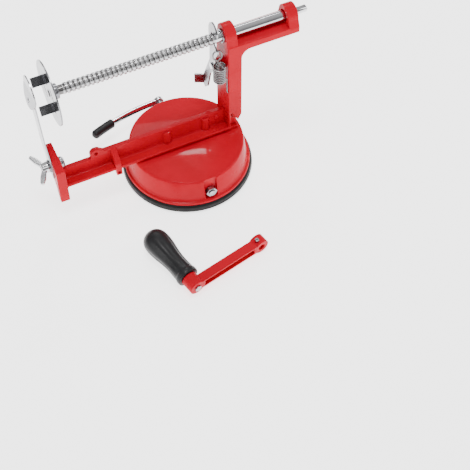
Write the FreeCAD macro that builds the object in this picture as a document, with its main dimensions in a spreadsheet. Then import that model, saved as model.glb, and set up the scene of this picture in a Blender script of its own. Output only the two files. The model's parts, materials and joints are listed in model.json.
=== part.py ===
import FreeCAD, Part
import math
import os
import Sketcher

# Spiral potato slicer on an apple-peeler frame with a suction base.
# Millimetres.  X runs along the spindle (blade end at -X, crank end at +X),
# Y points to the back, Z is up.  The origin is the centre of the base's underside.

V = FreeCAD.Vector
TURN_Z_TO_X = FreeCAD.Rotation(V(0, 1, 0), 90)
TURN_Z_TO_Y = FreeCAD.Rotation(V(1, 0, 0), -90)
NO_TURN = FreeCAD.Rotation()

SIZES = {
    # suction base
    "cup_radius": 62.0, "cup_edge": 8.6, "pad_thick": 3.4, "flange_radius": 59.0,
    "flange_top": 11.2, "groove_radius": 55.4, "groove_top": 13.2, "wall_foot_radius": 56.2,
    "wall_head_radius": 54.2, "base_top": 34.3, "top_radius": 51.6, "top_round": 2.6,
    "shell_bore": 50.0, "shell_roof": 3.0, "notch_half": 6.2, "notch_face": 52.6,
    "screw_left": -18.5, "screw_right": 20.0, "screw_y": 1.8, "tap_top": 46.0,
    # cam shaft, stud and suction lever
    "cam_height": 19.0, "cam_radius": 3.2, "cam_throw": 3.0, "cam_half": 8.0,
    "shaft_front": 58.5, "shaft_back": 70.0, "fit_gap": 0.06,
    "bar_arc": 200.0, "bar_thick": 3.0, "bar_height": 6.4, "bar_reach": 74.0, "bar_tilt": 1.5,
    "cap_length": 24.8, "cap_height": 8.4, "cap_width": 7.6, "cap_past": 3.0, "eye_radius": 4.8,
    # rail
    "rail_start": -120.5, "rail_step": -70.5, "rail_end": 42.0, "rail_under": 36.2,
    "lip_y": -9.2, "web_front": 1.2, "web_back": 5.5, "floor_top": 38.2, "web_low": 50.0,
    "web_high": 55.5, "ear_x": -87.3, "ear_z": 55.0, "ear_radius": 5.4,
    # front plate
    "plate_left": -128.8, "plate_thick": 8.6, "plate_foot": 17.8, "plate_ridge": 59.8,
    "plate_peak": 80.2, "plate_front": -9.5, "plate_peak_y": 8.0, "plate_back": 10.8,
    "bolt_height": 56.0, "bolt_radius": 2.5, "bolt_end": -137.2,
    # column, lugs and arm
    "column_left": 40.5, "column_right": 53.8, "column_front": -7.5, "column_back": 18.2,
    "arm_low": 131.3, "arm_high": 138.6, "arm_skin": 3.4, "lug_width": 10.0,
    "rear_lug": 100.2, "front_crown": 10.4, "rear_crown": 10.0, "crown_lift": 0.9,
    # spindle
    "spindle_y": 5.35, "spindle_z": 144.3, "rod_radius": 4.67, "crest_radius": 5.05,
    "root_radius": 4.25, "neck_radius": 3.4, "screw_pitch": 4.2, "thread_from": -107.0,
    "stub_radius": 3.25, "stub_end": 122.4, "disc_face": -117.9, "disc_thick": 1.3,
    "disc_radius": 28.9, "disc_turn": -30.0, "prong_length": 11.6, "prong_width": 8.6,
    "prong_offset": 12.7, "window": 6.0, "hub_length": 6.4, "hub_outer": 6.8,
    # blade
    "blade_thick": 1.1, "blade_width": 14.0, "blade_foot": 46.0, "blade_bend": 62.0,
    "blade_lean": 3.6, "blade_bow": 1.7, "blade_centre": 152.5, "blade_radius": 14.8, "blade_lip": 14.0,
    # release lever and spring
    "lever_left": 32.2, "lever_thick": 1.5, "pivot_y": 9.4, "pivot_z": 107.6,
    "pivot_radius": 2.4, "coil_x": 32.6, "coil_y": -5.8, "coil_radius": 6.0,
    "wire_radius": 0.8, "coil_low": 102.4, "coil_high": 121.9, "hook_z": 84.4,
    "loop_y": -1.9, "loop_z": 130.2, "loop_radius": 4.4, "loop_lean": 19.0,
    # crank
    "crank_x": -52.5, "crank_y": -141.4, "crank_z": 9.66, "crank_yaw": 13.2,
    "crank_tilt": 2.48, "crank_roll": 1.86, "crank_reach": 72.4, "hub_radius": 7.5, "arm_depth": 9.0,
    "arm_tall": 10.4, "boss_length": 13.0, "stub_fit": 3.31, "pin_radius": 2.5,
}

doc = FreeCAD.newDocument("slicer")
sheet = doc.addObject("Spreadsheet::Sheet", "sizes")
for row, (alias, number) in enumerate(SIZES.items(), start=1):
    sheet.set("A%d" % row, alias)
    sheet.set("B%d" % row, str(number))
    sheet.setAlias("B%d" % row, alias)
doc.recompute()


class Dim:
    """A length with its value and the spreadsheet expression that gives it."""

    def __init__(self, value, text):
        self.value = value
        self.text = text

    @staticmethod
    def of(item):
        return item if isinstance(item, Dim) else Dim(float(item), repr(float(item)))

    def join(self, other, sign, value):
        return Dim(value, "(%s %s %s)" % (self.text, sign, Dim.of(other).text))

    def __add__(self, other):
        return self.join(other, "+", self.value + Dim.of(other).value)

    def __sub__(self, other):
        return self.join(other, "-", self.value - Dim.of(other).value)

    def __mul__(self, other):
        return self.join(other, "*", self.value * Dim.of(other).value)

    def __neg__(self):
        return Dim(-self.value, "(0 - %s)" % self.text)


def cell(alias):
    return Dim(SIZES[alias], "sizes." + alias)


def bind(thing, path, item):
    """Tie one property of an object to its spreadsheet expression."""
    thing.setExpression(path, Dim.of(item).text)


def place(thing, x, y, z, rotation=NO_TURN):
    thing.Placement = FreeCAD.Placement(V(Dim.of(x).value, Dim.of(y).value, Dim.of(z).value), rotation)
    bind(thing, "Placement.Base.x", x)
    bind(thing, "Placement.Base.y", y)
    bind(thing, "Placement.Base.z", z)
    return thing


def box(name, xs, ys, zs):
    """A block between two values on each axis."""
    thing = doc.addObject("Part::Box", name)
    for prop, (low, high) in (("Length", xs), ("Width", ys), ("Height", zs)):
        bind(thing, prop, Dim.of(high) - low)
    return place(thing, xs[0], ys[0], zs[0])


def rod(name, axis, centre, radius, span):
    """A cylinder along x, y or z; centre gives the other two coordinates."""
    thing = doc.addObject("Part::Cylinder", name)
    bind(thing, "Radius", radius)
    bind(thing, "Height", Dim.of(span[1]) - span[0])
    if axis == "x":
        return place(thing, span[0], centre[0], centre[1], TURN_Z_TO_X)
    if axis == "y":
        return place(thing, centre[0], span[0], centre[1], TURN_Z_TO_Y)
    return place(thing, centre[0], centre[1], span[0])


PLANES = {
    # plane name: (sketch rotation, index of the axis it is extruded along)
    "xy": (NO_TURN, 2),
    "xz": (FreeCAD.Rotation(V(1, 0, 0), 90), 1),
    "yz": (FreeCAD.Rotation(V(1, 1, 1), 120), 0),
}


def sketch_of(name, plane, points, level=0.0):
    """A closed outline whose corners are each tied to the spreadsheet."""
    rotation, index = PLANES[plane]
    sketch = doc.addObject("Sketcher::SketchObject", name)
    base = [0.0, 0.0, 0.0]
    base[index] = level
    place(sketch, base[0], base[1], base[2], rotation)
    corners = [(Dim.of(u), Dim.of(v)) for u, v in points]
    count = len(corners)
    for i, (u, v) in enumerate(corners):
        after = corners[(i + 1) % count]
        start = V(u.value, v.value, 0)
        sketch.addGeometry(Part.LineSegment(start, V(after[0].value, after[1].value, 0)))
    for i in range(count):
        sketch.addConstraint(Sketcher.Constraint("Coincident", i, 2, (i + 1) % count, 1))
    for i, (u, v) in enumerate(corners):
        for kind, item in (("DistanceX", u), ("DistanceY", v)):
            number = sketch.addConstraint(Sketcher.Constraint(kind, -1, 1, i, 1, item.value))
            bind(sketch, "Constraints[%d]" % number, item)
    return sketch


def prism(name, plane, points, span):
    """The outline pushed from one level to another across its plane."""
    sketch = sketch_of(name + "_outline", plane, points, span[0])
    thing = doc.addObject("Part::Extrusion", name)
    thing.Base = sketch
    thing.Solid = True
    thing.DirMode = "Custom"
    direction = [0.0, 0.0, 0.0]
    direction[PLANES[plane][1]] = 1.0
    thing.Dir = V(*direction)
    bind(thing, "LengthFwd", Dim.of(span[1]) - span[0])
    return thing


def turned(name, profile):
    """A profile of (radius, height) points turned about Z."""
    sketch = sketch_of(name + "_profile", "xz", profile)
    thing = doc.addObject("Part::Revolution", name)
    thing.Source = sketch
    thing.Axis = V(0, 0, 1)
    thing.Base = V(0, 0, 0)
    thing.Angle = 360
    thing.Solid = True
    return thing


def fuse(name, pieces):
    thing = doc.addObject("Part::MultiFuse", name)
    thing.Shapes = pieces
    thing.Refine = True
    return thing


def cut(name, base, tools):
    thing = doc.addObject("Part::Cut", name)
    thing.Base = base
    thing.Tool = tools[0] if len(tools) == 1 else fuse(name + "_tools", tools)
    thing.Refine = True
    return thing


PARTS = []
SCREW_SIDES = ("left", "right")


def keep(thing, label):
    thing.Label = label
    PARTS.append(thing)
    return thing


# ---------------------------------------------------------------- suction base

def base_housing():
    """Cast cap with a flange, a sealing groove and a slightly tapered wall."""
    top = cell("base_top")
    roof = top - cell("shell_roof")
    shell = turned("housing_shell", [
        (cell("shell_bore"), cell("cup_edge") + 0.1),
        (cell("flange_radius"), cell("cup_edge") + 0.1),
        (cell("flange_radius") + 0.6, cell("cup_edge") + 0.7),
        (cell("flange_radius") + 0.6, cell("flange_top") - 0.8),
        (cell("flange_radius") - 0.4, cell("flange_top")),
        (cell("groove_radius"), cell("flange_top")),
        (cell("groove_radius"), cell("groove_top")),
        (cell("wall_foot_radius"), cell("groove_top") + 0.6),
        (cell("wall_head_radius"), top - cell("top_round")),
        (cell("wall_head_radius") - 0.5, top - 1.1),
        (cell("wall_head_radius") - 1.4, top - 0.3),
        (cell("top_radius"), top),
        (0.0, top),
        (0.0, roof),
        (cell("shell_bore"), roof),
    ])
    half = cell("notch_half")
    height = cell("cam_height")
    bore = cell("cam_radius") + cell("fit_gap")
    tools = [
        box("shaft_notch", (-half, half), (-70.0, -cell("notch_face")), (height - 6.8, top + 1.0)),
        rod("shaft_bore", "y", (0.0, height), bore, (-70.0, 70.0)),
    ]
    for side in SCREW_SIDES:
        spot = (cell("screw_" + side), cell("screw_y"))
        tools.append(rod("screw_hole_" + side, "z", spot, 1.75, (roof - 1.0, top + 1.0)))
    return keep(cut("housing", shell, tools), "base_housing")


def suction_cup():
    """Rubber pad: thick round rim under the housing, thin middle and a raised centre."""
    edge, thin = cell("cup_edge"), cell("pad_thick")
    outer = cell("cup_radius")
    bore = cell("shell_bore")
    return keep(turned("cup", [
        (0.0, 0.0), (outer - 2.5, 0.0), (outer, 1.5), (outer - 0.4, edge - 4.1),
        (outer - 1.8, edge - 0.6), (outer - 2.4, edge), (bore + 2.0, edge), (bore, thin + 1.0),
        (bore - 2.0, thin), (16.0, thin), (14.0, thin + 1.2), (0.0, thin + 1.2),
    ]), "suction_cup")


def cup_stud():
    """Steel stud that lifts the pad: a foot disc and a yoke round the cam."""
    low = cell("pad_thick") + 1.4
    height = cell("cam_height")
    foot = rod("stud_foot", "z", (0.0, 0.0), 13.0, (low, low + 2.4))
    yoke = box("stud_yoke", (-9.0, 9.0), (-6.0, 6.0), (low + 2.4, height + 5.0))
    slot = box("stud_slot", (-6.8, 6.8), (-7.0, 7.0), (height - 7.2, height + 0.8))
    return keep(cut("stud", fuse("stud_blank", [foot, yoke]), [slot]), "cup_stud")


def cam_shaft():
    """Shaft across the base with a cranked middle that works in the stud's yoke."""
    height = cell("cam_height")
    low = height - cell("cam_throw")
    radius = cell("cam_radius")
    half = cell("cam_half")
    web_low = low - radius
    web_high = height + radius
    return keep(fuse("cam", [
        rod("cam_front", "y", (0.0, height), radius, (-cell("shaft_front"), -half)),
        rod("cam_back", "y", (0.0, height), radius, (half, cell("shaft_back"))),
        rod("cam_middle", "y", (0.0, low), radius, (-half, half)),
        box("cam_web_front", (-radius, radius), (-half - 1.6, -half + 0.6), (web_low, web_high)),
        box("cam_web_back", (-radius, radius), (half - 0.6, half + 1.6), (web_low, web_high)),
    ]), "cam_shaft")


def shaft_nut():
    """Hexagon nut on the front end of the cam shaft, lying in the notch."""
    across = 5.4
    corners = [(across * math.cos(math.radians(60 * k)), across * math.sin(math.radians(60 * k)))
               for k in range(6)]
    height = cell("cam_height")
    blank = prism("nut_blank", "xz", [(x, height + z) for x, z in corners], (-57.4, -53.2))
    bore = rod("nut_bore", "y", (0.0, height), cell("cam_radius"), (-58.0, -53.0))
    return keep(cut("nut", blank, [bore]), "shaft_nut")


def arc_bar(thick, low, high, first, last):
    """A bar that follows the lever's arc in plan, between two distances from its start."""
    radius = SIZES["bar_arc"]
    centre = V(6.0, SIZES["shaft_back"] - 1.6 - radius, 0)

    def point(offset, distance):
        angle = math.radians(90) + (distance + 6.0) / radius
        size = radius + offset
        return V(centre.x + size * math.cos(angle), centre.y + size * math.sin(angle), low)

    inner, outer = -thick / 2, thick / 2
    middle = (first + last) / 2
    edges = [
        Part.Arc(point(inner, first), point(inner, middle), point(inner, last)).toShape(),
        Part.LineSegment(point(inner, last), point(outer, last)).toShape(),
        Part.Arc(point(outer, last), point(outer, middle), point(outer, first)).toShape(),
        Part.LineSegment(point(outer, first), point(inner, first)).toShape(),
    ]
    return Part.Face(Part.Wire(edges)).extrude(V(0, 0, high - low))


def tip_up(shape):
    """Turn the lever's pieces a little about the shaft, so that the free end rises."""
    shape.rotate(V(0, 0, SIZES["cam_height"]), V(0, 1, 0), SIZES["bar_tilt"])
    return shape


def suction_lever():
    """Flat bar, gently curved round the base, with an eye on the cam shaft."""
    height = SIZES["cam_height"]
    half = SIZES["bar_height"] / 2
    bar = arc_bar(SIZES["bar_thick"], height - half, height + half, -1.0, SIZES["bar_reach"])
    back = SIZES["shaft_back"]
    eye = Part.makeCylinder(SIZES["eye_radius"], 3.8, V(0, back - 3.5, height), V(0, 1, 0))
    hole = Part.makeCylinder(SIZES["cam_radius"], 12.0, V(0, back - 8.0, height), V(0, 1, 0))
    thing = doc.addObject("Part::Feature", "lever_bar")
    thing.Shape = tip_up(bar.fuse(eye).cut(hole).removeSplitter())
    return keep(thing, "suction_lever")


def lever_cap():
    """Rubber sleeve over the end of the suction lever."""
    height = SIZES["cam_height"]
    half = SIZES["cap_height"] / 2
    reach = SIZES["bar_reach"]
    end = reach + SIZES["cap_past"]
    start = end - SIZES["cap_length"]
    cap = arc_bar(SIZES["cap_width"], height - half, height + half, start, end)
    long_edges = [edge for edge in cap.Edges if edge.Length > 10.0]
    cap = cap.makeFillet(3.0, long_edges)
    inside = SIZES["bar_height"] / 2
    bar = arc_bar(SIZES["bar_thick"], height - inside, height + inside, start - 1.0, reach)
    thing = doc.addObject("Part::Feature", "cap_sleeve")
    thing.Shape = tip_up(cap.cut(bar))
    return keep(thing, "lever_cap")


def base_screws():
    """Two screws from inside the base up into the rail's bosses."""
    roof = cell("base_top") - cell("shell_roof")
    pieces = []
    for side in SCREW_SIDES:
        spot = (cell("screw_" + side), cell("screw_y"))
        pieces.append(rod("screw_head_" + side, "z", spot, 3.4, (roof - 2.4, roof)))
        pieces.append(rod("screw_shank_" + side, "z", spot, 1.5, (roof, cell("tap_top"))))
    return keep(fuse("screws", pieces), "base_screws")


# --------------------------------------------------------------- frame casting

def rail():
    """L-section rail: floor with a front lip, web at the back, rib, ear, bosses and seats."""
    under, floor = cell("rail_under"), cell("floor_top")
    start, step, end = cell("rail_start"), cell("rail_step"), cell("rail_end")
    lip, front, back = cell("lip_y"), cell("web_front"), cell("web_back")
    low, high = cell("web_low"), cell("web_high")
    ear_x, ear_z, ear = cell("ear_x"), cell("ear_z"), cell("ear_radius")
    top = cell("base_top")
    solid = [
        box("rail_floor", (start, end), (lip, back), (under, floor)),
        box("rail_lip", (start, end), (lip, lip + 2.2), (floor, floor + 0.9)),
        box("rail_web_low", (start, step), (front, back), (floor, low)),
        box("rail_web_high", (step, end), (front, back), (floor, high)),
        prism("rail_fillet", "yz", [(front - 2.6, floor), (front - 1.2, floor + 0.4),
              (front - 0.4, floor + 1.2), (front, floor + 2.6), (front + 0.5, floor + 2.6),
              (front + 0.5, floor)], (start, end)),
        prism("rail_rib", "yz", [(back, high), (front, high), (lip, floor + 5.0),
              (lip, floor - 1.0), (back, floor - 1.0)], (step - 3.0, step + 2.5)),
        rod("ear_round", "y", (ear_x, ear_z), ear, (front, back)),
        prism("ear_flank", "xz", [(ear_x - ear, low - 1.0), (ear_x - ear, ear_z),
              (ear_x, ear_z + ear - 0.1), (ear_x + 2.0, ear_z + ear - 0.3), (ear_x + 8.0, high),
              (step, high), (step, low - 1.0)], (front, back)),
        box("rail_hanger", (step - 2.8, step + 2.8), (lip, lip + 5.0), (top - 6.0, under + 0.3)),
    ]
    holes = [
        rod("ear_hole", "y", (ear_x, ear_z), 1.8, (front - 2.0, back + 2.0)),
        rod("hanger_dimple", "y", (step, top - 2.6), 1.5, (lip - 1.0, lip + 2.4)),
    ]
    middle = (lip + back) * 0.5
    for side in SCREW_SIDES:
        x = cell("screw_" + side)
        solid.append(rod("rail_seat_" + side, "z", (x, middle), 6.5, (top, under + 0.5)))
        solid.append(rod("screw_boss_" + side, "z", (x, cell("screw_y")), 3.7, (top, high - 3.0)))
        holes.append(rod("screw_tap_" + side, "z", (x, cell("screw_y")), 1.5, (top - 1.0, cell("tap_top"))))
    return solid, holes


def front_plate():
    """Upright at the blade end: vertical front, sloping shoulder, thinner at the top."""
    left = cell("plate_left")
    right = left + cell("plate_thick")
    front = cell("plate_front")
    ridge, peak = cell("plate_ridge"), cell("plate_peak")
    solid = prism("plate_blank", "yz", [
        (front + 1.6, cell("plate_foot")), (front, cell("plate_foot") + 1.6), (front, ridge - 0.8),
        (front + 0.8, ridge + 0.4), (cell("plate_peak_y"), peak - 0.6),
        (cell("plate_peak_y") + 1.4, peak), (cell("plate_back") - 1.0, peak),
        (cell("plate_back"), peak - 1.0), (cell("plate_back"), 49.0), (-0.5, 34.0),
        (-4.6, cell("plate_foot") + 1.6), (-5.6, cell("plate_foot")),
    ], (left, right))
    shaving = prism("plate_shaving", "xz", [
        (right + 1.0, ridge), (right, ridge), (left + 5.4, peak), (left + 5.4, peak + 2.0),
        (right + 1.0, peak + 2.0)], (-20.0, 30.0))
    bolt_hole = rod("bolt_hole", "x", (cell("spindle_y"), cell("bolt_height")),
                    cell("bolt_radius") + 0.1, (left - 1.0, right + 1.0))
    return cut("plate", solid, [shaving, bolt_hole])


def column():
    """Channel column open at the back of its +X side, with a cut-away foot."""
    left, right = cell("column_left"), cell("column_right")
    front, back = cell("column_front"), cell("column_back")
    top, low = cell("base_top"), cell("arm_low")
    solid = box("column_blank", (left, right), (front, back), (top, low + 2.0))
    return cut("column_cut", solid, [
        box("column_channel", (left + 3.6, right + 1.0), (front + 3.2, back - 3.2), (top + 12.0, low - 4.0)),
        prism("foot_chamfer", "xz", [(right + 1.0, 52.0), (right, 51.0), (right - 3.5, 44.0),
              (right - 3.5, top - 1.0), (right + 1.0, top - 1.0)], (-20.0, 30.0)),
        prism("foot_window", "xz", [(left + 2.4, 57.0), (right - 3.4, 44.0), (right - 3.4, top + 3.0),
              (left + 2.4, top + 3.0)], (front - 1.0, front + 4.0)),
        rod("hook_hole", "x", (cell("coil_y"), cell("hook_z")), 1.3, (left - 1.0, left + 6.0)),
    ])


def lug(name, start, crown, lift):
    """A spindle lug: a block as wide as the arm that narrows to a round crown."""
    front, back = cell("column_front"), cell("column_back")
    low, high = cell("arm_low"), cell("arm_high")
    y, z = cell("spindle_y"), cell("spindle_z") + lift
    span = (start, start + cell("lug_width"))
    block = prism(name + "_block", "yz", [(front, low), (front, high - 1.5), (y - crown, z),
                  (y + crown, z), (back, high - 1.5), (back, low)], span)
    return [block, rod(name + "_crown", "x", (y, z), crown, span)]


def head():
    """Two spindle lugs and the arm between them."""
    left, right = cell("column_left"), cell("column_right")
    front, back = cell("column_front"), cell("column_back")
    low, high = cell("arm_low"), cell("arm_high")
    rear = cell("rear_lug")
    centre = (cell("spindle_y"), cell("spindle_z"))
    width = cell("lug_width")
    pivot = (cell("pivot_y"), cell("pivot_z"))
    solid = lug("front_lug", left, cell("front_crown"), cell("crown_lift"))
    solid += lug("rear_lug", rear, cell("rear_crown"), 0.0)
    solid += [
        box("arm_top", (left + width - 1.0, rear + 1.0), (front, back), (high - cell("arm_skin"), high)),
        box("arm_side_front", (right - 1.0, rear + 1.0), (front, front + 3.0), (low, high)),
        box("arm_side_back", (right - 1.0, rear + 1.0), (back - 3.0, back), (low, high)),
        box("arm_heel", (left + 1.0, right + 3.0), (front, back), (low, high)),
        box("elbow_blank", (right - 0.5, right + 9.0), (front, back), (low - 9.0, low + 0.5)),
        rod("pivot_boss", "x", pivot, 5.2, (cell("lever_left") + 1.7, left + 1.0)),
    ]
    holes = [
        rod("elbow_round", "y", (right + 9.0, low - 9.0), 9.0, (front - 1.0, back + 1.0)),
        rod("front_bore", "x", centre, 6.0, (left - 1.0, left + width + 1.0)),
        rod("rear_bore", "x", centre, cell("crest_radius") + cell("fit_gap"), (rear - 1.0, rear + width + 1.0)),
        rod("pivot_hole", "x", pivot, cell("pivot_radius"), (cell("lever_left"), left + 5.0)),
    ]
    return solid, holes


def frame_casting():
    rail_solid, rail_holes = rail()
    head_solid, head_holes = head()
    blank = fuse("casting_blank", rail_solid + head_solid + [front_plate(), column()])
    return keep(cut("casting", blank, rail_holes + head_holes), "frame_casting")


def front_bush():
    """Flanged steel bush in the front lug that guides the thread's crests."""
    y, z = cell("spindle_y"), cell("spindle_z")
    left = cell("column_left")
    body = fuse("bush_blank", [
        rod("bush_flange", "x", (y, z), 6.5, (left - 1.6, left)),
        rod("bush_barrel", "x", (y, z), 6.0, (left - 1.6, left + cell("lug_width"))),
    ])
    bore = rod("bush_bore", "x", (y, z), cell("crest_radius") + cell("fit_gap"), (left - 4.0, left + 12.0))
    return keep(cut("bush", body, [bore]), "front_bush")


# ---------------------------------------------------------------------- blade

def blade_bolt():
    """Domed bolt through the front plate; its thread carries the blade and wing nut."""
    centre = (cell("spindle_y"), cell("bolt_height"))
    right = cell("plate_left") + cell("plate_thick")
    return keep(fuse("bolt", [
        rod("bolt_head", "x", centre, 5.4, (right, right + 2.6)),
        rod("bolt_dome", "x", centre, 4.2, (right + 2.6, right + 3.8)),
        rod("bolt_shank", "x", centre, cell("bolt_radius"), (cell("bolt_end"), right)),
    ]), "blade_bolt")


def blade():
    """Thin strip with a round head; the head is slit and one half bent out as a lip."""
    y = cell("spindle_y")
    half = cell("blade_width") * 0.5
    face = cell("plate_left") - 0.05
    thick, lean, bow = cell("blade_thick"), cell("blade_lean"), cell("blade_bow")
    foot, bend = cell("blade_foot"), cell("blade_bend")
    knee = bend + 26.0
    centre, radius = cell("blade_centre"), cell("blade_radius")
    left = face - lean - thick
    strip = prism("blade_strip", "xz", [
        (face, foot), (face, bend), (face - bow, knee), (face - lean, centre - 6.0),
        (face - lean, centre + 4.0), (left, centre + 4.0), (left, centre - 6.0),
        (face - bow - thick, knee), (face - thick, bend), (face - thick, foot)], (y - half, y + half))
    sheet_span = (left, left + thick)
    round_head = rod("blade_head", "x", (y, centre), radius, sheet_span)
    lower = box("blade_lower_cut", (left - 1.0, left + 3.0), (y - 30.0, y + 30.0), (centre - 30.0, centre))
    upper = cut("blade_upper", round_head, [lower])
    blank = rod("blade_lip_disc", "x", (y, centre), radius, sheet_span)
    off = box("blade_lip_trim", (left - 1.0, left + 3.0), (y - 30.0, y + 30.0), (centre, centre + 30.0))
    lip = cut("blade_lip_half", blank, [off])
    turn = FreeCAD.Rotation(V(0, 1, 0), SIZES["blade_lip"])
    pivot = V((left + thick).value, y.value, centre.value)
    lip.Placement = FreeCAD.Placement(pivot - turn.multVec(pivot), turn)
    eye = rod("blade_eye", "x", (y, cell("spindle_z")), 2.2, (left - 8.0, left + 3.0))
    hole = rod("blade_hole", "x", (y, cell("bolt_height")), cell("bolt_radius") + 0.05,
               (face - 3.0, face + 1.0))
    return keep(cut("blade_done", fuse("blade_blank", [strip, upper, lip]), [eye, hole]), "spiral_blade")


def bolt_washer():
    centre = (cell("spindle_y"), cell("bolt_height"))
    outside = cell("plate_left") - cell("blade_thick") - 0.1
    ring = rod("washer_ring", "x", centre, 6.0, (outside - 1.0, outside))
    bore = rod("washer_bore", "x", centre, cell("bolt_radius") + 0.06, (outside - 2.0, outside + 1.0))
    return keep(cut("washer", ring, [bore]), "bolt_washer")


def wing_nut():
    """Wing nut: round hub and two wings that flare away from the plate."""
    y, z = SIZES["spindle_y"], SIZES["bolt_height"]
    start = SIZES["plate_left"] - SIZES["blade_thick"] - 1.3
    shape = Part.makeCone(5.3, 4.3, 6.6, V(start, y, z), V(-1, 0, 0))
    outline = [(0.6, 1.0), (2.6, 3.8), (6.4, 12.8), (10.6, 18.5), (13.0, 16.0), (10.4, 8.8), (6.0, 1.0)]
    for side in (-1, 1):
        points = [V(start - across, y + side * out, z - 1.1) for across, out in outline]
        face = Part.Face(Part.makePolygon(points + [points[0]]))
        shape = shape.fuse(face.extrude(V(0, 0, 2.2)))
    bore = Part.makeCylinder(SIZES["bolt_radius"] + 0.06, 20.0, V(start + 5.0, y, z), V(-1, 0, 0))
    thing = doc.addObject("Part::Feature", "wing")
    thing.Shape = shape.cut(bore)
    return keep(thing, "wing_nut")


# -------------------------------------------------------------------- spindle

def spindle_rod():
    """Rod with a rolled round thread, a plain shank and a stub with a flat for the crank."""
    pitch = SIZES["screw_pitch"]
    crest, root = SIZES["crest_radius"], SIZES["root_radius"]
    first = SIZES["thread_from"]
    rear = SIZES["disc_face"] + SIZES["disc_thick"]
    shoulder = SIZES["rear_lug"] + SIZES["lug_width"] + 0.3
    turns = int((SIZES["column_left"] - 5.0 - first) / pitch)
    nose = SIZES["disc_face"] - 0.5
    neck = SIZES["neck_radius"]
    collar = rear + SIZES["hub_length"] + 0.2
    profile = [(nose, 0.0), (nose, neck - 0.5), (nose + 0.5, neck), (collar, neck), (collar, root),
               (first, root)]
    for turn in range(turns):
        start = first + turn * pitch
        profile += [(start + 0.9, root), (start + 1.5, crest - 0.2), (start + 2.0, crest),
                    (start + 2.5, crest), (start + 3.0, crest - 0.2), (start + 3.6, root)]
    profile += [(first + turns * pitch, root), (first + turns * pitch + 0.4, SIZES["rod_radius"]),
                (shoulder - 0.5, SIZES["rod_radius"]), (shoulder, SIZES["rod_radius"] - 0.5),
                (shoulder, SIZES["stub_radius"]), (SIZES["stub_end"] - 0.8, SIZES["stub_radius"]),
                (SIZES["stub_end"], SIZES["stub_radius"] - 0.8), (SIZES["stub_end"], 0.0)]
    points = [V(x, radius, 0) for x, radius in profile]
    face = Part.Face(Part.makePolygon(points + [points[0]]))
    shape = face.revolve(V(0, 0, 0), V(1, 0, 0), 360)
    flat = Part.makeBox(14.0, 8.0, 4.0, V(shoulder, -4.0, SIZES["stub_radius"] - 0.5))
    thing = doc.addObject("Part::Feature", "threaded_rod")
    thing.Shape = shape.cut(flat)
    place(thing, 0.0, cell("spindle_y"), cell("spindle_z"))
    return keep(thing, "spindle_rod")


def holder_disc():
    """Potato holder: punched disc with two flat prongs that stand up like radial fins."""
    face, thick = cell("disc_face"), cell("disc_thick")
    half = cell("prong_width") * 0.5
    inner, outer = cell("prong_offset") - half, cell("prong_offset") + half
    sheet_half = thick * 0.5
    fin = (-sheet_half, sheet_half)
    prong = (face - cell("prong_length"), face + 0.6)
    window = (-sheet_half - cell("window"), -sheet_half)
    through = (face - 1.0, face + 3.0)
    blank = fuse("disc_blank", [
        rod("disc_plate", "x", (0.0, 0.0), cell("disc_radius"), (face, face + thick)),
        box("prong_upper", prong, fin, (inner, outer)),
        box("prong_lower", prong, fin, (-outer, -inner)),
    ])
    done = cut("holder", blank, [
        rod("disc_bore", "x", (0.0, 0.0), cell("neck_radius") + 0.02, through),
        box("window_upper", through, window, (inner + 0.4, outer - 0.4)),
        box("window_lower", through, window, (-outer + 0.4, -inner - 0.4)),
        box("slit_back", through, (11.0, 12.6), (-6.0, 6.0)),
        box("slit_front", through, (-12.6, -11.0), (-6.0, 6.0)),
    ])
    place(done, 0.0, cell("spindle_y"), cell("spindle_z"), FreeCAD.Rotation(V(1, 0, 0), SIZES["disc_turn"]))
    return keep(done, "holder_disc")


def holder_washer():
    centre = (cell("spindle_y"), cell("spindle_z"))
    rear = cell("disc_face") + cell("disc_thick")
    ring = rod("holder_ring", "x", centre, cell("hub_outer"), (rear + 0.2, rear + cell("hub_length")))
    bore = rod("holder_bore", "x", centre, cell("neck_radius") + 0.08, (rear - 1.0, rear + 8.0))
    return keep(cut("holder_hub", ring, [bore]), "holder_washer")


# ----------------------------------------------------- release lever and spring

def release_lever():
    """Sheet-steel hook behind the thread, with a spring notch and a folded thumb tab."""
    left = cell("lever_left")
    right = left + cell("lever_thick")
    z = cell("spindle_z")
    notch = cell("loop_z") + 3.0
    plate = prism("lever_plate", "yz", [
        (0.2, z + 12.2), (3.2, z + 15.0), (6.4, z + 15.9), (9.6, z + 15.2), (13.0, z + 12.4),
        (15.2, z + 7.6), (15.6, z + 1.0), (14.2, 128.0), (14.6, 112.0), (19.9, 100.0),
        (25.4, 88.0), (30.6, 76.0), (31.4, 67.4), (26.4, 64.6), (20.8, 71.0), (14.2, 94.0),
        (8.6, 100.4), (4.4, 106.0), (3.0, 114.0), (1.2, 124.0), (0.4, notch - 7.2),
        (-2.4, notch - 3.2), (-2.7, notch + 1.2), (-1.6, notch + 1.6), (-1.0, notch), (0.2, notch),
        (1.4, notch + 1.6), (4.6, z - 6.9), (5.4, z - 6.4), (9.6, z - 4.7), (11.1, z),
        (9.6, z + 4.5), (5.4, z + 5.7), (-1.8, z + 5.7), (-1.4, z + 9.6)], (left, right))
    tab = prism("lever_tab", "xy", [(left + 0.5, 30.0), (left + 0.5, 31.5), (left - 6.6, 35.3),
                (left - 7.4, 34.0)], (66.5, 77.6))
    bore = rod("lever_bore", "x", (cell("pivot_y"), cell("pivot_z")), cell("pivot_radius") + 0.05,
               (left - 2.0, right + 2.0))
    return keep(cut("lever_done", fuse("lever_blank", [plate, tab]), [bore]), "release_lever")


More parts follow.
